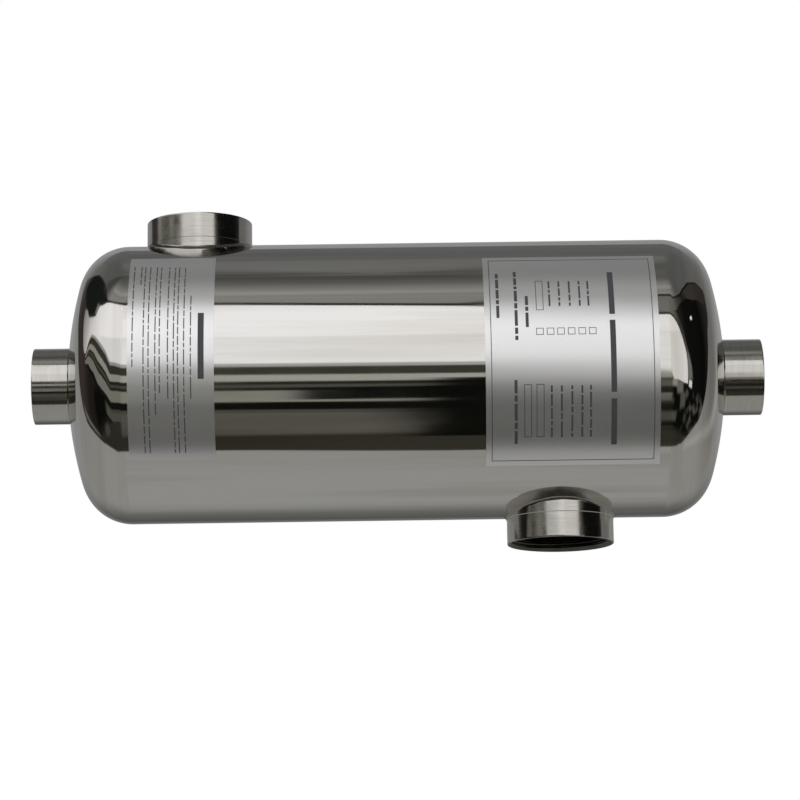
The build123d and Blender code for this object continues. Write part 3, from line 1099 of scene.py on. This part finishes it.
noticePrint = {
    "heading": (-91.4, -88.6, -10.9, 21.1),
    "lineWidth": 0.5,
    "lines": [
        (-94.7, -20.0, 30.8), (-97.8, -46.2, 50.5), (-100.6, -46.1, 50.8), (-102.5, -46.1, 50.8),
        (-105.2, -19.9, 51.0), (-109.0, -17.1, 51.0), (-111.0, -27.2, 51.2), (-114.1, -45.9, 51.4),
        (-116.4, -45.9, 51.5), (-118.2, 38.2, 51.6), (-121.5, -5.0, 51.7),
    ],
}
printForm = {
    "dashLengths": [5.1, 2.2, 7.3, 3.6, 4.4, 1.8, 6.2, 2.9, 8.1, 3.1, 5.6],
    "dashGap": 0.9,
    "shortestDash": 1.5,
    "plateThickness": 0.3,
    "inkLift": 0.005,
    "inkThickness": 0.03,
    "longestStep": 1.5,
}


def printRects(name, rects, form):
    bm = bmesh.new()
    plateRadius = shellRadius / mm + form["plateThickness"]
    inner = plateRadius + form["inkLift"]
    outer = inner + form["inkThickness"]
    for left, right, foot, top in rects:
        steps = max(1, math.ceil((top - foot) / form["longestStep"]))
        rows = []
        for number in range(steps + 1):
            angle = (foot + (top - foot) * number / steps) / plateRadius
            row = []
            for x, radius in ((left, inner), (left, outer), (right, outer), (right, inner)):
                row.append(bm.verts.new((
                    shellCentre.x + x * mm,
                    shellCentre.y - radius * math.cos(angle) * mm,
                    shellCentre.z + radius * math.sin(angle) * mm,
                )))
            rows.append(row)
        joinRings(bm, rows, closed=False)
        bm.faces.new(rows[0])
        bm.faces.new(rows[-1])
    newPiece(name, finishMesh(bm, name, smooth=False), ink)


def boxRects(left, right, foot, top, line):
    return [
        (left, right, foot, foot + line), (left, right, top - line, top),
        (left, left + line, foot + line, top - line), (right - line, right, foot + line, top - line),
    ]


def dashes(left, right, foot, top, first=0, lengths=printForm["dashLengths"], gap=printForm["dashGap"]):
    # a line broken from its top down, the lengths taken in turn
    rects = []
    place = top
    while place > foot:
        end = place - lengths[(first + len(rects)) % len(lengths)]
        if end - gap <= foot + printForm["shortestDash"]:
            end = foot
        rects.append((left, right, end, place))
        place = end - gap
    return rects


def dataPlateRects(values):
    left, right, foot, top, line = values["border"]
    rects = boxRects(left, right, foot, top, line)
    rects += dashes(*values["heading"], lengths=values["headingDashes"], gap=values["headingGap"])
    half = values["columnWidth"] / 2
    for number, x in enumerate(values["columns"]):
        rects += dashes(x - half, x + half, *values["upperGroup"], number)
        rects += dashes(x - half, x + half, *values["lowerGroup"], 2 * number + 1)
    size = values["tickBoxSize"]
    foot = values["tickBoxFoot"]
    for x in values["tickBoxes"]:
        rects += boxRects(x, x + size, foot, foot + size, values["boxLine"])
    for box in values["emptyBoxes"]:
        rects += boxRects(*box, values["boxLine"])
    for number, line in enumerate(values["lines"]):
        rects += dashes(*line, 3 * number)
    return rects


def noticePlateRects(values):
    half = values["lineWidth"] / 2
    rects = [values["heading"]]
    for number, (x, foot, top) in enumerate(values["lines"]):
        rects += dashes(x - half, x + half, foot, top, 4 * number)
    return rects


printRects("data_plate_print", dataPlateRects(dataPrint), printForm)
printRects("notice_plate_print", noticePlateRects(noticePrint), printForm)
print("plates printed")
